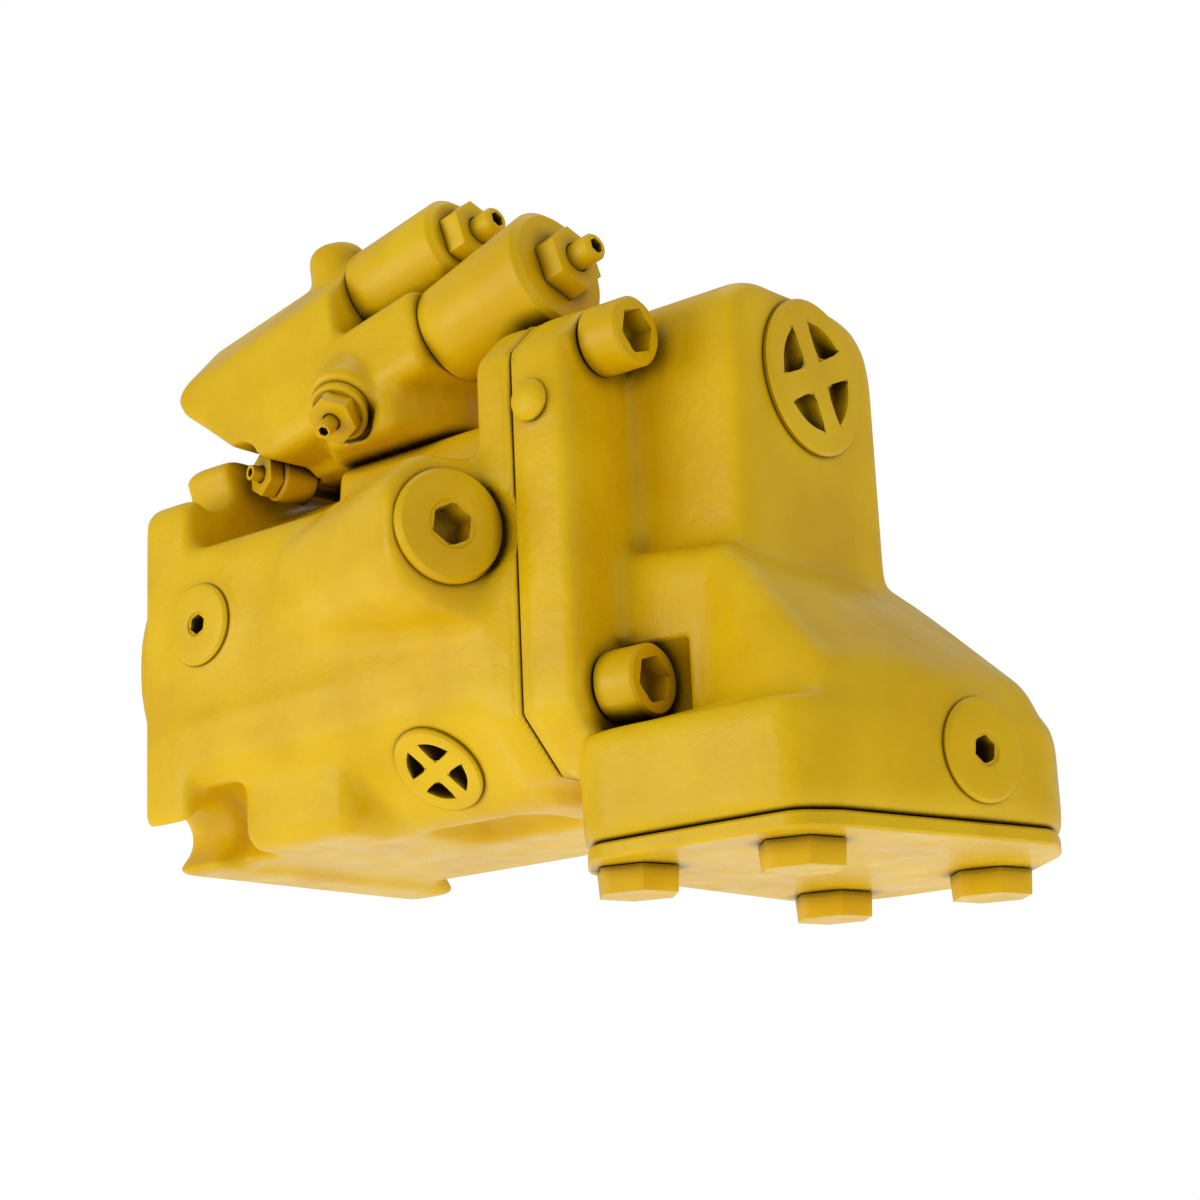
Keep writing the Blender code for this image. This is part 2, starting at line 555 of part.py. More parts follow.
# ---------------------------------------------------------------- control valve
def control_valve():
    """Valve block on its foot, with the two spool bores side by side in height."""
    lower_end, upper_end = -LOWER_CAP_LENGTH - GAP, UPPER_CAP_END - UPPER_CAP_LENGTH - GAP
    across_valve = VALVE_FRAME @ ALONG_X
    block = prism(rounded([(-20, -17, 4), (22, -17, 3), (22, 54, 6), (6, 54, 8), (-3, 49, 10), (-20, 31, 8)], 2),
                  -178, upper_end, across_valve)
    nose = prism([(-190, -40), (-130, -40), (-130, -17.5), (-146, -9), (-163, 9), (-174.4, 20.5), (-177, 27),
                  (-172, 35), (-168, 70), (-190, 70)], -60, 60, VALVE_FRAME @ ALONG_Y)
    block = softened(cut(block, nose), 2.2)
    root = softened(prism(rounded([(-20.5, -17.4, 5), (21, -17.4, 5), (21, 14, 5), (-20.5, 14, 5)], 2),
                          -130, lower_end, across_valve), 1.2)
    ledge = rod(valve(-60, 1, 3.5), valve(upper_end - 4, 1, 3.5), 14.6, sides=20)
    foot = softened(prism([(80, -61), (112, -63), (126, -37), (126, 20), (66, 20), (66, -44)],
                          VALVE_PAD_Z + GAP, 90, ALONG_Z), 3)
    front_foot = softened(prism([(30, -28), (52, -42), (72, -42), (72, 14), (30, 14)],
                                BARREL_RADIUS + 0.8, 86, ALONG_Z), 3)
    dome = softened(rod(valve(-103, 2, 20), valve(-103, 2, 61), 11, sides=16), 4, 2)
    boss_axis = Vector((0.15, -0.7, -0.7)).normalized()
    boss_at = Vector((92, -63, 78))
    boss = softened(rod(boss_at - boss_axis * 14, boss_at + boss_axis * 3, 14.5, sides=20), 1.5)
    body = joined(block, root, ledge, foot, front_foot, dome, boss)
    limiter_in = LIMITER_END - LIMITER_AXIS * 25.3
    cutters = [
        rod(valve(-46), valve(lower_end - 14), 12.5, sides=24),
        rod(valve(-60), valve(-150), 6.1, sides=16),
        rod(valve(-86, UPPER_BORE_Y, UPPER_BORE_Z), valve(upper_end - 14, UPPER_BORE_Y, UPPER_BORE_Z), 12.5,
            sides=24),
        rod(valve(-95, UPPER_BORE_Y, UPPER_BORE_Z), valve(-160, UPPER_BORE_Y, UPPER_BORE_Z), 6.1, sides=16),
        rod(boss_at + boss_axis * 6, boss_at - boss_axis * 10, 8.2, sides=16),
        rod(boss_at + boss_axis * 3, boss_at + boss_axis * 30, 13, sides=20),
        rod((104, -20, VALVE_PAD_Z - 2), (104, -20, 84), 4, sides=12),
        rod(limiter_in + LIMITER_AXIS * 3, limiter_in - LIMITER_AXIS * 14, 3.3, sides=12),
        rod(LIMITER_END + LIMITER_AXIS * 6, limiter_in + LIMITER_AXIS * 0.6, 10.4, sides=20),
    ]
    for x in (74, 116):
        cutters.append(rod((x, 12, VALVE_PAD_Z - 3), (x, 12, 92), 4.5, sides=14))
        cutters.append(rod((x, 12, 78), (x, 12, 150), 7.0, sides=16))
    finish(cut(body, *cutters), "control_valve_body", PAINT)

    for number, x in enumerate((74, 116), 1):
        socket_screw(f"valve_mounting_screw_{number}", (x, 12, 78), (0, 0, -1), 19, 8.0)
    stepped_plug(boss_at + boss_axis * 3, boss_axis)


def stepped_plug(face, outward):
    """Plug with a round collar and a hexagon, and the small screw locked in its middle."""
    frame = towards(face, outward)
    body = turned([(3.4, 4), (10, 4), (11, 3), (11, GAP), (7.9, GAP), (7.9, -11), (3.4, -11)], frame, 20, ring=True)
    hexagon = rod(face + outward * 3.6, face + outward * 10, 9.2, sides=6)
    hexagon = cut(hexagon, rod(face + outward * 3, face + outward * 11, 3.4, sides=16))
    finish(joined(body, hexagon), "valve_orifice_plug", PAINT)
    screw = turned([(0, 17), (2.6, 17), (3.0, 16), (3.0, -9), (0, -9)], frame, 14)
    socket = rod(face + outward * 18, face + outward * 14, 1.9, sides=6)
    finish(cut(screw, socket), "valve_orifice_screw", PAINT)


def spring_cap(name, along, length, across, up, radius, end_radius):
    """The hollow cap that closes a spool bore and holds its control spring."""
    frame = towards(valve(along, across, up), VALVE_ALONG)
    shape = turned([(5.4, 0), (end_radius - 2.5, 0), (end_radius, -2.5), (radius, -length), (14, -length),
                    (14, -10), (5.4, -10)], frame, 28, ring=True)
    finish(shape, name, PAINT)


def adjuster(prefix, along, length, across, up):
    """Lock nut, adjusting screw, spring seat, control spring and spool of one spool bore."""
    frame = towards(valve(along, across, up), VALVE_ALONG)
    nut = rod(valve(along + GAP, across, up), valve(along + 8, across, up), 12.4, 11.8, sides=6, turn=10)
    finish(cut(nut, rod(valve(along - 1, across, up), valve(along + 9, across, up), 5.4, sides=16)),
           f"{prefix}_lock_nut", PAINT)
    screw = turned([(0, 17), (4.2, 17), (5.0, 16), (5.0, -13.5), (0, -13.5)], frame, 16)
    socket = rod(valve(along + 18, across, up), valve(along + 12, across, up), 2.9, sides=6)
    finish(cut(screw, socket), f"{prefix}_adjusting_screw", PAINT)
    seat = turned([(0, -13.8), (12.5, -13.8), (12.5, -16.8), (7, -16.8), (7, -20), (0, -20)], frame, 20)
    finish(seat, f"{prefix}_spring_seat", STEEL)
    coil(f"{prefix}_spring", frame, 10.0, 1.3, -length - 6.4, -17.2, 4)
    spool_top = -length - 6.8
    spool = turned([(0, spool_top + 8), (5, spool_top + 8), (5, spool_top), (11, spool_top), (11, spool_top - 2),
                    (5.9, spool_top - 2), (5.9, spool_top - 20), (3.5, spool_top - 21), (3.5, spool_top - 30),
                    (5.9, spool_top - 31), (5.9, spool_top - 42), (0, spool_top - 42)], frame, 14)
    finish(spool, f"{prefix}_spool", STEEL)


def limiter():
    """The flow limiter beside the valve's foot."""
    def at(distance):
        return LIMITER_END - LIMITER_AXIS * distance
    sleeve = softened(rod(at(10.3), at(24), 9.2, sides=20), 1.0, 1)
    sleeve = joined(sleeve, rod(at(23), at(36), 3.1, sides=12))
    sleeve = cut(sleeve, rod(at(8), at(22), 3.4, sides=12))
    finish(sleeve, "limiter_sleeve", PAINT)
    nut = rod(at(4.5), at(10), 8.4, sides=6)
    finish(cut(nut, rod(at(3), at(12), 3.4, sides=12)), "limiter_lock_nut", PAINT)
    screw = rod(at(0), at(21), 3.0, sides=12)
    finish(cut(screw, rod(at(-1), at(4), 1.8, sides=6)), "limiter_screw", PAINT)


def coil(name, frame, radius, wire, low, high, turns):
    """A compression spring with closed ends."""
    curve = bpy.data.curves.new(name, "CURVE")
    curve.dimensions = "3D"
    curve.bevel_depth = wire * MM
    curve.bevel_resolution = 0
    curve.use_fill_caps = True
    count = turns * 10
    spline = curve.splines.new("POLY")
    spline.points.add(count)
    for i, point in enumerate(spline.points):
        share = i / count
        angle = 2 * math.pi * turns * share
        height = low + wire + (high - low - 2 * wire) * share
        point.co = (radius * math.cos(angle) * MM, radius * math.sin(angle) * MM, height * MM, 1.0)
    thing = bpy.data.objects.new(name, curve)
    PARTS.objects.link(thing)
    thing.matrix_world = frame
    finish(welded(bake(thing)), name, SPRING_STEEL, 60)


# ---------------------------------------------------------------- rotating group
def drive_shaft():
    frame = towards((0, 0, 0), (1, 0, 0))
    profile = [(0, 199.5), (13, 199.5), (14, 198.5), (14, 178), (17, 176), (17, 84), (19, 83), (19, 34), (24, 32.5),
               (24, 30.5), (20, 30.5), (20, 2), (22.5, 1), (22.5, -14), (21, -15), (21, -61), (19.5, -63),
               (0, -63)]
    shaft = turned(profile, frame, 24)
    grooves = []
    teeth = 12
    for i in range(teeth):
        angle = 2 * math.pi * i / teeth
        radial = Vector((0, math.cos(angle), math.sin(angle))) * 21.2
        grooves.append(rod(Vector((-70, 0, 0)) + radial, Vector((-22, 0, 0)) + radial, 2.2, sides=4))
    finish(cut(shaft, *grooves), "drive_shaft", STEEL)


def bearing(name, low, high, inner, outer):
    """A rolling bearing as one closed ring, dished between its races on both faces."""
    frame = towards((0, 0, 0), (1, 0, 0))
    wall = (outer - inner) * 0.3
    profile = [(inner, high), (inner + wall, high), (inner + wall, high - 2.5), (outer - wall, high - 2.5),
               (outer - wall, high), (outer, high), (outer, low), (inner, low)]
    finish(turned(profile, frame, 28, ring=True), name, STEEL)


def cylinder_block():
    frame = towards((0, 0, 0), (1, 0, 0))
    block = turned([(17.4, BLOCK_REAR_X), (BLOCK_RADIUS, BLOCK_REAR_X), (BLOCK_RADIUS, BLOCK_FRONT_X + 2),
                    (BLOCK_RADIUS - 2, BLOCK_FRONT_X), (17.4, BLOCK_FRONT_X)], frame, 36, ring=True)
    bores = [turned([(16, 150), (24, 150), (24, 122), (16, 122)], frame, 32, ring=True)]
    for i in range(PISTON_COUNT):
        y, z = piston_place(i)
        bores.append(rod((BLOCK_FRONT_X - 2, y, z), (168, y, z), PISTON_BORE, sides=14))
        bores.append(rod((166, y, z), (BLOCK_REAR_X + 2, y, z), 5, sides=8))
    finish(cut(block, *bores), "cylinder_block", STEEL)
    coil("block_spring", frame, 20.9, 1.6, 122.4, 149.6, 4)


def piston_place(i):
    angle = 2 * math.pi * i / PISTON_COUNT + math.pi / 2
    return PISTON_CIRCLE * math.cos(angle), PISTON_CIRCLE * math.sin(angle)


def pistons():
    """Pistons with ball ends, and the retainer that holds their slippers."""
    ball_x, ball_radius = 89.5, 8.0
    arc = [math.radians(a) for a in (38, 74, 110, 146)]
    head = [(ball_radius * math.sin(a), ball_x + ball_radius * math.cos(a)) for a in arc]
    head.append((0, ball_x - ball_radius))
    for i in range(PISTON_COUNT):
        y, z = piston_place(i)
        profile = [(0, 140), (4, 140), (4, 150), (PISTON_RADIUS - 1, 150), (PISTON_RADIUS, 149),
                   (PISTON_RADIUS, 102), (PISTON_RADIUS - 3, 100)] + head
        frame = towards((0, y, z), (1, 0, 0))
        finish(turned(profile, frame, 10), f"piston_{i + 1}", STEEL)

    frame = towards((0, 0, 0), (1, 0, 0))
    plate = turned([(24.5, 90), (47, 90), (47, 86.5), (24.5, 86.5)], frame, 36, ring=True)
    cups, sockets = [], []
    for i in range(PISTON_COUNT):
        y, z = piston_place(i)
        cups.append(rod((SWASH_PIVOT_X + 0.35, y, z), (94, y, z), 11.4, 10.8, sides=12))
        sockets.append(rod((ball_x - ball_radius - 0.4, y, z), (96, y, z), 8.6, 8.7, sides=8))
    finish(cut(joined(plate, *cups), *sockets), "slipper_retainer", BRONZE)

    guide = [(17.6, 109), (20, 109)]
    for degrees in range(35, -36, -14):
        guide.append((22.6 * math.cos(math.radians(degrees)), 96 + 13 * math.sin(math.radians(degrees))))
    guide.append((17.6, 96 + 13 * math.sin(math.radians(-35))))
    finish(turned(guide, frame, 24, ring=True), "ball_guide", STEEL)


def valve_plate():
    frame = towards((0, 0, 0), (1, 0, 0))
    low, high = BLOCK_REAR_X + 0.4, SEAM_X - 0.2
    plate = turned([(19, high), (48, high), (48, low), (19, low)], frame, 36, ring=True)
    slots = []
    for middle in (90, 270):
        for degrees in (-54, -36, -18, 0, 18, 36, 54):
            angle = math.radians(middle + degrees)
            y, z = PISTON_CIRCLE * math.cos(angle), PISTON_CIRCLE * math.sin(angle)
            slots.append(rod((low - 1, y, z), (high + 1, y, z), 6, sides=6))
    finish(cut(plate, *slots), "valve_plate", BRONZE)


# ---------------------------------------------------------------- stroking mechanism
def swashplate():
    disc = rod((64, 0, 0), (SWASH_PIVOT_X, 0, 0), 52, sides=40)
    near_ear = box((67, -71, 6), (SWASH_PIVOT_X - 0.1, -30, 24))
    far_ear = box((67, 30, -9), (SWASH_PIVOT_X - 0.1, 71, 9))
    plate = joined(disc, near_ear, far_ear)
    for side in (-1, 1):
        shoe = rod((SWASH_PIVOT_X, 0, side * 24), (SWASH_PIVOT_X, 0, side * 43), CRADLE_RADIUS, sides=40)
        shoe = cut(shoe, box((66, -60, -60), (140, 60, 60)))
        plate = joined(plate, shoe)
    plate = cut(plate, rod((50, 0, 0), (90, 0, 0), 25.5, sides=24))
    finish(plate, "swashplate", STEEL)

    for side, name in ((1, "cradle_bearing_upper"), (-1, "cradle_bearing_lower")):
        outer = rod((SWASH_PIVOT_X, 0, side * 25), (SWASH_PIVOT_X, 0, side * 42), CRADLE_RADIUS + 2.8, sides=40)
        inner = rod((SWASH_PIVOT_X, 0, side * 20), (SWASH_PIVOT_X, 0, side * 45), CRADLE_RADIUS + 0.4, sides=40)
        finish(cut(outer, inner, box((52, -60, -60), (140, 60, 60))), name, BRONZE)


def stroking_pistons():
    reach = (SERVO_FACE.x - SWASH_PIVOT_X - 5.4) / math.cos(math.radians(SERVO_YAW))
    tip = [(5 * math.cos(math.radians(a)), -reach - 5 * math.sin(math.radians(a))) for a in (0, 30, 60)]
    body = turned([(0, -38), (12.5, -38), (13.8, -39.5), (13.8, -63), (12.5, -64), (5, -65)] + tip +
                  [(0, -reach - 5)], towards(servo(0), -SERVO_DIRECTION), 24)
    finish(body, "servo_piston", STEEL)
    tip = 81.3
    body = turned([(0, 134), (5.6, 134), (6.35, 133), (6.35, 96), (5, 95), (5, tip + 4), (3.2, tip + 1), (0, tip)],
                  towards((0, BIAS_Y, 0), (1, 0, 0)), 24)
    finish(body, "bias_piston", STEEL)


def seals():
    frame = towards((0, 0, 0), (1, 0, 0))
    finish(turned([(22.8, 0), (31.7, 0), (31.7, -8), (22.8, -8)], frame, 24, ring=True), "shaft_seal", RUBBER)
    finish(turned([(26, -8.4), (31.7, -8.4), (31.7, -10.4), (26, -10.4)], frame, 24, ring=True),
           "seal_retaining_ring", SPRING_STEEL)


main_housing()
port_block()
fasteners_and_plugs(suction_cover())
control_valve()
spring_cap("pressure_spring_cap", 0, LOWER_CAP_LENGTH, 0, 0, 18.2, 22.3)
adjuster("pressure", 0, LOWER_CAP_LENGTH, 0, 0)
spring_cap("flow_spring_cap", UPPER_CAP_END, UPPER_CAP_LENGTH, UPPER_BORE_Y, UPPER_BORE_Z, 17.4, 17.4)
adjuster("flow", UPPER_CAP_END, UPPER_CAP_LENGTH, UPPER_BORE_Y, UPPER_BORE_Z)
limiter()
drive_shaft()
bearing("front_bearing", 5, 29.5, 20.3, 37.7)
bearing("rear_bearing", 182, 199, 14.3, 26.0)
cylinder_block()
pistons()
valve_plate()
swashplate()
stroking_pistons()
seals()
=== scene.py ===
"""Looks of the axial piston pump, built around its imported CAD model."""

import json
import math

import bmesh
import bpy
import numpy as np
from mathutils import Matrix, Vector
from mathutils.bvhtree import BVHTree


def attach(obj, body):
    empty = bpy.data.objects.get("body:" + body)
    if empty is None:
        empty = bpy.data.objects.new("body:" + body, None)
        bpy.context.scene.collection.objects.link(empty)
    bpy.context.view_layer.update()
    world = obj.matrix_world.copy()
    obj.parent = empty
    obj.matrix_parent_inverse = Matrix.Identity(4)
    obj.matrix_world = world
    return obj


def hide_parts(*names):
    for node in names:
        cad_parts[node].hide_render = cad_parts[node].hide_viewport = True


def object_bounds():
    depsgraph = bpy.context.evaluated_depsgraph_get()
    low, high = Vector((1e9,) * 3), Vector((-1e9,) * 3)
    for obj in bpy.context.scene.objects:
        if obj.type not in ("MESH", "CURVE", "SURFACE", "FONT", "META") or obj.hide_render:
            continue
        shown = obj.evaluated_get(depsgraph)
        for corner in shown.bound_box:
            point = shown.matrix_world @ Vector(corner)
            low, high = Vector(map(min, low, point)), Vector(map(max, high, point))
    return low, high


MM = 0.001

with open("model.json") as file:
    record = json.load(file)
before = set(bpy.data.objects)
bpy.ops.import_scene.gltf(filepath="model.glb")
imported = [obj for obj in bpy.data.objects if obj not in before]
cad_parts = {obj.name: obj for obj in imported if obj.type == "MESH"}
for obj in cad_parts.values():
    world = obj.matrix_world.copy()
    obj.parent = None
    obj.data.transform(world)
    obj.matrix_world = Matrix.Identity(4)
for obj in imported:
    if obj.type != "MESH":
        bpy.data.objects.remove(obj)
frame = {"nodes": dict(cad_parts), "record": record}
cad_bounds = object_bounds()
NODES = frame["nodes"]
SLOT_OF = {s["node"]: s["material_slot"] for s in frame["record"]["subparts"]}

# ---------------------------------------------------------------- castings
SEAM_X = 178.8 * MM  # joint face between the housing and the port block
CAVITY_RADIUS = 60.5 * MM  # everything nearer the shaft than this is machined
SERVO_FACE = Vector((161.5, -88.0, 13.0)) * MM
SERVO_YAW = math.radians(20)
SERVO_INWARD = Vector((-math.cos(SERVO_YAW), math.sin(SERVO_YAW), 0))
SERVO_BORE = 17.4 * MM
SERVO_LENGTH = 118 * MM
BIAS_Y = 66 * MM
BIAS_BORE = 8 * MM
BIAS_FROM, BIAS_TO = 38 * MM, 152 * MM
EAR_POCKETS = (  # room for the ears of the swashplate, as (low corner, high corner)
    (Vector((61, -75, -1)) * MM, Vector((108, -45, 31)) * MM),
    (Vector((40, 45, -14)) * MM, Vector((94, 72.5, 14)) * MM),
)
SCREW_Y = 57 * MM
SCREW_HEIGHTS = (72.5 * MM, -42.5 * MM)
SEAT_RADIUS = 16 * MM
SEAT_FROM = 200.5 * MM
SEAT_DEPTH = 30 * MM
SHARP_BAND = 1.2 * MM  # this near to a joint face or another piece, the CAD surface is kept
SOFT_REACH = 4 * MM  # from here on the casting is fully smoothed

CASTINGS = {  # node: (piece, voxel size, rounds of smoothing)
    "main_housing": ("housing_casting", 1.5 * MM, 16),
    "port_block": ("port_block_casting", 1.5 * MM, 18),
    "control_valve_body": ("valve_casting", 1.1 * MM, 10),
}
CRISP_ROUNDS = 3  # smoothing next to a seat, where the metal is machined


def baked(piece):
    """The piece's mesh with its modifiers applied."""
    bpy.context.view_layer.update()
    done = bpy.data.meshes.new_from_object(piece.evaluated_get(bpy.context.evaluated_depsgraph_get()))
    piece.modifiers.clear()
    piece.data = done
    done.name = piece.name


def solid_tree(names):
    """One search tree over the surfaces of these CAD nodes."""
    points, faces = [], []
    for name in names:
        start = len(points)
        mesh = NODES[name].data
        points += [v.co.copy() for v in mesh.vertices]
        faces += [[start + i for i in p.vertices] for p in mesh.polygons]
    return BVHTree.FromPolygons(points, faces)


def relaxed(points, pairs, rounds):
    """The points after some rounds of moving each one towards the middle of its neighbours."""
    count = np.bincount(pairs.ravel(), minlength=len(points))[:, None]
    count = np.maximum(count, 1)
    points = points.copy()
    for _ in range(rounds):
        total = np.zeros_like(points)
        np.add.at(total, pairs[:, 0], points[pairs[:, 1]])
        np.add.at(total, pairs[:, 1], points[pairs[:, 0]])
        points += 0.5 * (total / count - points)
    return points


def machined(node, p):
    """Which points lie in a bore, cavity or joint face, where the CAD surface is kept."""
    keep = np.abs(p[:, 0] - SEAM_X) < SHARP_BAND
    if node == "port_block":
        deep = (p[:, 0] > SEAT_FROM) & (p[:, 0] < SEAT_FROM + SEAT_DEPTH)
        for height in SCREW_HEIGHTS:
            keep |= deep & (np.hypot(np.abs(p[:, 1]) - SCREW_Y, p[:, 2] - height) < SEAT_RADIUS)
    if node != "main_housing":
        return keep
    keep |= np.hypot(p[:, 1], p[:, 2]) < CAVITY_RADIUS
    away = p - np.array(SERVO_FACE)
    along = away @ np.array(SERVO_INWARD)
    across = np.linalg.norm(away - along[:, None] * np.array(SERVO_INWARD), axis=1)
    keep |= (across < SERVO_BORE) & (along > -1 * MM) & (along < SERVO_LENGTH)
    bias = (p[:, 0] > BIAS_FROM) & (p[:, 0] < BIAS_TO)
    keep |= bias & (np.hypot(p[:, 1] - BIAS_Y, p[:, 2]) < BIAS_BORE)
    for low, high in EAR_POCKETS:
        keep |= np.all((p > np.array(low)) & (p < np.array(high)), axis=1)
    return keep


def casting(node, name, voxel, rounds):
    """A cast piece with rounded edges, whose bores and seats stay on the CAD surface."""
    source = NODES[node]
    mesh = source.data.copy()
    work = bmesh.new()
    work.from_mesh(mesh)
    bmesh.ops.remove_doubles(work, verts=work.verts, dist=1e-6)
    work.to_mesh(mesh)
    work.free()
    piece = bpy.data.objects.new(name, mesh)
    bpy.context.scene.collection.objects.link(piece)
    remesh = piece.modifiers.new("skin", "REMESH")
    remesh.mode = "VOXEL"
    remesh.voxel_size = voxel
    baked(piece)
    skin = piece.data

    points = np.empty(len(skin.vertices) * 3)
    skin.vertices.foreach_get("co", points)
    points = points.reshape(-1, 3)
    pairs = np.empty(len(skin.edges) * 2, np.int64)
    skin.edges.foreach_get("vertices", pairs)
    pairs = pairs.reshape(-1, 2)
    crisp = relaxed(points, pairs, CRISP_ROUNDS)
    soft = relaxed(crisp, pairs, rounds)

    own = solid_tree([node])
    others = solid_tree([n for n in NODES if n not in CASTINGS])
    gap = np.array([others.find_nearest(Vector(q), SOFT_REACH)[3] or SOFT_REACH for q in points])
    share = np.clip((gap - SHARP_BAND) / (SOFT_REACH - SHARP_BAND), 0, 1)[:, None]
    share = relaxed(share, pairs, 4)
    shape = crisp * (1 - share) + soft * share
    for i in np.flatnonzero(machined(node, points)):
        shape[i] = own.find_nearest(Vector(points[i]))[0]
    skin.vertices.foreach_set("co", shape.ravel())
    skin.update()
    skin.shade_smooth()
    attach(piece, "casing")
    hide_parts(node)
    return piece


# ---------------------------------------------------------------- turned and milled pieces
EDGE_WIDTH = 0.4 * MM  # broken edge
SHARP = math.radians(32)
BODY_OF = {node: body for body, nodes in frame["record"]["behaviour"]["bodies"].items() for node in nodes}
SHOWING = [node for node in NODES if node not in CASTINGS and SLOT_OF[node] == "yellow_paint"]
SHOWING += ["drive_shaft", "shaft_seal", "seal_retaining_ring", "front_bearing"]


def rounded_piece(node):
    """A CAD piece with its many-sided curves made round and its sharp edges broken."""
    mesh = NODES[node].data.copy()
    work = bmesh.new()
    work.from_mesh(mesh)
    bmesh.ops.remove_doubles(work, verts=work.verts, dist=1e-6)
    bmesh.ops.join_triangles(work, faces=work.faces, angle_face_threshold=math.radians(1),
                             angle_shape_threshold=math.radians(180))
    crease = work.edges.layers.float.new("crease_edge")
    for edge in work.edges:
        if len(edge.link_faces) != 2 or edge.calc_face_angle(0) > SHARP:
            edge[crease] = 1.0
    work.to_mesh(mesh)
    work.free()
    piece = bpy.data.objects.new(node + "_finish", mesh)
    bpy.context.scene.collection.objects.link(piece)
    curve = piece.modifiers.new("round", "SUBSURF")
    curve.levels = curve.render_levels = 2
    edge = piece.modifiers.new("broken_edge", "BEVEL")
    edge.width = EDGE_WIDTH
    edge.segments = 2
    edge.limit_method = "ANGLE"
    edge.angle_limit = SHARP
    baked(piece)
    piece.data.shade_smooth()
    piece.data.set_sharp_from_angle(angle=math.radians(40))
    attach(piece, BODY_OF[node])
    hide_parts(node)
    return piece


# ---------------------------------------------------------------- materials
def shader(name, colour, roughness, metallic=0.0, coat=0.0):
    """A new material, its node tree and its shader."""
    look = bpy.data.materials.new(name)
    look.use_nodes = True
    tree = look.node_tree
    bsdf = tree.nodes["Principled BSDF"]
    bsdf.inputs["Base Color"].default_value = (*colour, 1)
    bsdf.inputs["Roughness"].default_value = roughness
    bsdf.inputs["Metallic"].default_value = metallic
    bsdf.inputs["Coat Weight"].default_value = coat
    bsdf.inputs["Coat Roughness"].default_value = 0.18
    bsdf.inputs["Specular IOR Level"].default_value = 0.2
    return look, tree, bsdf


def noise(tree, scale, detail=4.0, stretch=(1, 1, 1)):
    """Noise in the object's own metres."""
    where = tree.nodes.new("ShaderNodeTexCoord")
    place = tree.nodes.new("ShaderNodeMapping")
    place.inputs["Scale"].default_value = stretch
    field = tree.nodes.new("ShaderNodeTexNoise")
    field.inputs["Scale"].default_value = scale
    field.inputs["Detail"].default_value = detail
    tree.links.new(where.outputs["Object"], place.inputs["Vector"])
    tree.links.new(place.outputs["Vector"], field.inputs["Vector"])
    return field.outputs["Fac"]


def ramp(tree, source, low, high, stops=(0.35, 0.65)):
    """Turns a value into a colour, or a grey, between low and high."""
    node = tree.nodes.new("ShaderNodeValToRGB")
    for element, place, value in zip(node.color_ramp.elements, stops, (low, high)):
        element.position = place
        element.color = (*value, 1) if hasattr(value, "__len__") else (value, value, value, 1)
    tree.links.new(source, node.inputs["Fac"])
    return node.outputs["Color"]


def bump(tree, bsdf, layers):
    """Stacks (height, depth in metres) layers of bump."""
    normal = None
    for height, depth in layers:
        node = tree.nodes.new("ShaderNodeBump")
        node.inputs["Distance"].default_value = depth
        tree.links.new(height, node.inputs["Height"])
        if normal:
            tree.links.new(normal, node.inputs["Normal"])
        normal = node.outputs["Normal"]
    tree.links.new(normal, bsdf.inputs["Normal"])


HOLLOW_REACH = 9 * MM  # how far off a wall can be and still be darkened by painted shade


def paint(name, cast):
    """Sprayed yellow enamel, over rough cast iron or over smooth machined steel, with painted shade in its
    creases and hollows.
    """
    look, tree, bsdf = shader(name, (0.80, 0.50, 0.002), 0.34, coat=0.04)
    tone = ramp(tree, noise(tree, 26), (0.74, 0.445, 0.001), (0.84, 0.54, 0.003))
    # Painted shade: concave creases, where pointiness is low, are darkened towards brown.
    mix = tree.nodes.new("ShaderNodeMix")
    mix.data_type = "RGBA"
    shape = tree.nodes.new("ShaderNodeNewGeometry")
    crease_shade = ramp(tree, shape.outputs["Pointiness"], 1.0, 0.0, (0.40, 0.485))
    tree.links.new(crease_shade, mix.inputs["Factor"])
    tree.links.new(tone, mix.inputs["A"])
    mix.inputs["B"].default_value = (0.36, 0.19, 0.004, 1)
    # Painted shade: hollows, found by ambient occlusion, are darkened to a near-black brown.
    hollow = tree.nodes.new("ShaderNodeAmbientOcclusion")
    hollow.samples = 8
    hollow.inputs["Distance"].default_value = HOLLOW_REACH
    hollow_shade = tree.nodes.new("ShaderNodeMix")
    hollow_shade.data_type = "RGBA"
    tree.links.new(ramp(tree, hollow.outputs["AO"], 1.0, 0.0, (0.30, 0.86)), hollow_shade.inputs["Factor"])
    tree.links.new(mix.outputs["Result"], hollow_shade.inputs["A"])
    hollow_shade.inputs["B"].default_value = (0.045, 0.018, 0.001, 1)
    tree.links.new(hollow_shade.outputs["Result"], bsdf.inputs["Base Color"])
    tree.links.new(ramp(tree, noise(tree, 90), 0.27, 0.43), bsdf.inputs["Roughness"])
    peel = (noise(tree, 900, 2), 0.00006)
    layers = [(noise(tree, 230, 6), 0.00035), peel] if cast else [peel]
    bump(tree, bsdf, layers)
    return look


def metal(name, colour, roughness, stretch):
    """Ground or drawn metal with fine marks and a little uneven polish."""
    look, tree, bsdf = shader(name, colour, roughness, metallic=1.0)
    dark = tuple(c * 0.82 for c in colour)
    tree.links.new(ramp(tree, noise(tree, 60), dark, colour), bsdf.inputs["Base Color"])
    tree.links.new(ramp(tree, noise(tree, 45), roughness * 0.75, roughness * 1.3), bsdf.inputs["Roughness"])
    bump(tree, bsdf, [(noise(tree, 700, 3, stretch), 0.00003)])
    return look


def rubber(name):
    """Dull black rubber."""
    look, tree, bsdf = shader(name, (0.03, 0.03, 0.03), 0.6)
    tree.links.new(ramp(tree, noise(tree, 120), (0.022,) * 3, (0.045,) * 3), bsdf.inputs["Base Color"])
    bump(tree, bsdf, [(noise(tree, 1200, 3), 0.00005)])
    return look


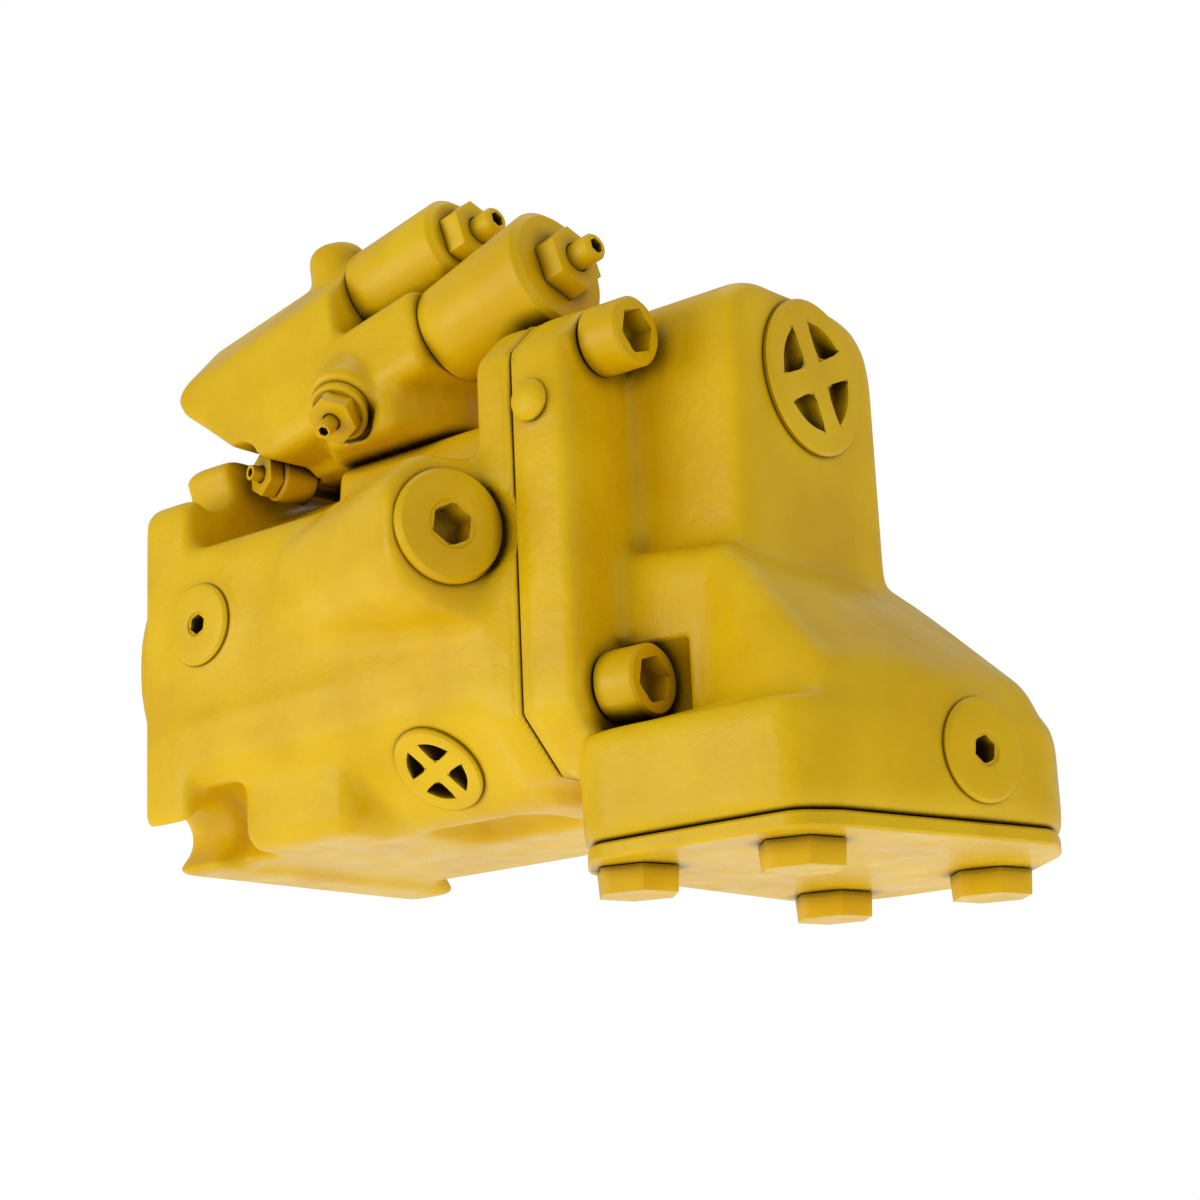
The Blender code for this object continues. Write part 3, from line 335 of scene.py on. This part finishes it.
CAST_PAINT = paint("cast_yellow_paint", True)
LOOKS = {
    "yellow_paint": paint("smooth_yellow_paint", False),
    "ground_steel": metal("ground_steel_look", (0.56, 0.57, 0.58), 0.26, (1, 14, 14)),
    "spring_steel": metal("spring_steel_look", (0.30, 0.31, 0.33), 0.36, (6, 1, 1)),
    "bearing_bronze": metal("bearing_bronze_look", (0.72, 0.48, 0.22), 0.32, (1, 9, 9)),
    "seal_rubber": rubber("seal_rubber_look"),
}


def dress(thing, look):
    """Gives a piece one material."""
    thing.data.materials.clear()
    thing.data.materials.append(look)


for node, (name, voxel, rounds) in CASTINGS.items():
    dress(casting(node, name, voxel, rounds), CAST_PAINT)

for node, thing in NODES.items():
    if node in CASTINGS:
        continue
    look = CAST_PAINT if node == "suction_cover_plate" else LOOKS[SLOT_OF[node]]
    if node in SHOWING:
        dress(rounded_piece(node), look)
    else:
        for place in thing.material_slots:
            place.link = "OBJECT"
            place.material = look


# ---------------------------------------------------------------- cast detail
DOME_AT = Vector((189.0, -77.6, 51.5)) * MM
DOME_SIZE = Vector((7.0, 3.4, 7.0)) * MM


def dome():
    """A shallow round boss cast on the near edge of the port block's flange."""
    mesh = bpy.data.meshes.new("cast_dome")
    work = bmesh.new()
    bmesh.ops.create_uvsphere(work, u_segments=32, v_segments=20, radius=1)
    bmesh.ops.transform(work, matrix=Matrix.Diagonal((*DOME_SIZE, 1)), verts=work.verts)
    work.to_mesh(mesh)
    work.free()
    mesh.shade_smooth()
    piece = bpy.data.objects.new("cast_dome", mesh)
    piece.location = DOME_AT
    bpy.context.scene.collection.objects.link(piece)
    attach(piece, "casing")
    dress(piece, CAST_PAINT)


dome()


# ---------------------------------------------------------------- studio
FLOOR_DROP = 0.16  # the pump is shown from below, so the floor lies well under it
FLOOR_HALF = 12


def floor(under):
    """A pale, faintly glowing sheet that lights the pump's underside."""
    mesh = bpy.data.meshes.new("floor")
    work = bmesh.new()
    bmesh.ops.create_grid(work, x_segments=2, y_segments=2, size=FLOOR_HALF)
    work.to_mesh(mesh)
    work.free()
    thing = bpy.data.objects.new("floor", mesh)
    thing.location.z = under - FLOOR_DROP
    bpy.context.scene.collection.objects.link(thing)
    look, tree, bsdf = shader("pale_floor", (0.86, 0.86, 0.85), 0.7)
    tree.links.new(ramp(tree, noise(tree, 3), (0.84,) * 3, (0.88,) * 3), bsdf.inputs["Base Color"])
    bsdf.inputs["Emission Color"].default_value = (1, 1, 1, 1)
    bsdf.inputs["Emission Strength"].default_value = 0.5
    mesh.materials.append(look)
    return thing


def softbox(name, at, aim, size, power):
    """A square lamp that faces the point aim."""
    lamp = bpy.data.lights.new(name, "AREA")
    lamp.shape = "SQUARE"
    lamp.size = size
    lamp.energy = power
    thing = bpy.data.objects.new(name, lamp)
    thing.location = at
    thing.rotation_euler = (Vector(aim) - Vector(at)).to_track_quat("-Z", "Y").to_euler()
    bpy.context.scene.collection.objects.link(thing)
    return thing


low, high = [Vector(corner) for corner in cad_bounds]
centre = (low + high) / 2
ground = floor(low.z)
key = softbox("key", centre + Vector((-0.55, -1.0, -0.02)), centre, 0.7, 4.2)
unlit = bpy.data.collections.new("not_lit_by_key")
unlit.objects.link(ground)
key.light_linking.receiver_collection = unlit
unlit.collection_objects[0].light_linking.link_state = "EXCLUDE"
softbox("rear_fill", centre + Vector((1.1, -0.25, 0.35)), centre, 0.6, 0.3)
softbox("top", centre + Vector((0.0, 0.2, 1.2)), centre, 1.0, 3.0)

world = bpy.data.worlds.new("studio")
world.use_nodes = True
sky = world.node_tree
sky.nodes["Background"].inputs["Color"].default_value = (1, 1, 1, 1)
sky.nodes["Background"].inputs["Strength"].default_value = 0.42
backdrop = sky.nodes.new("ShaderNodeBackground")
backdrop.inputs["Color"].default_value = (1, 1, 1, 1)
seen = sky.nodes.new("ShaderNodeLightPath")
either = sky.nodes.new("ShaderNodeMixShader")
sky.links.new(seen.outputs["Is Camera Ray"], either.inputs["Fac"])
sky.links.new(sky.nodes["Background"].outputs["Background"], either.inputs[1])
sky.links.new(backdrop.outputs["Background"], either.inputs[2])
sky.links.new(either.outputs["Shader"], sky.nodes["World Output"].inputs["Surface"])
bpy.context.scene.world = world
bpy.context.scene.view_settings.view_transform = "Standard"

# Camera: 39 degrees round towards the port block, looking up by 14.5 degrees.
TURN = math.radians(39)
RISE = math.radians(14.5)
ROLL = math.radians(2.6)
right = Vector((math.cos(TURN), math.sin(TURN), 0))
up = Vector((math.sin(TURN) * math.sin(RISE), -math.cos(TURN) * math.sin(RISE), math.cos(RISE)))
back = Vector((math.sin(TURN) * math.cos(RISE), -math.cos(TURN) * math.cos(RISE), -math.sin(RISE)))
camera_x = right * math.cos(ROLL) - up * math.sin(ROLL)
camera_y = right * math.sin(ROLL) + up * math.cos(ROLL)
lens = bpy.data.cameras.new("camera")
lens.lens = 75
lens.sensor_width = 36
lens.clip_start = 0.01
camera = bpy.data.objects.new("camera", lens)
camera.matrix_world = Matrix.Translation((0.6822, -0.6550, -0.2121)) @ Matrix((
    camera_x, camera_y, back)).transposed().to_4x4()
bpy.context.scene.collection.objects.link(camera)
bpy.context.scene.camera = camera

bpy.context.view_layer.update()
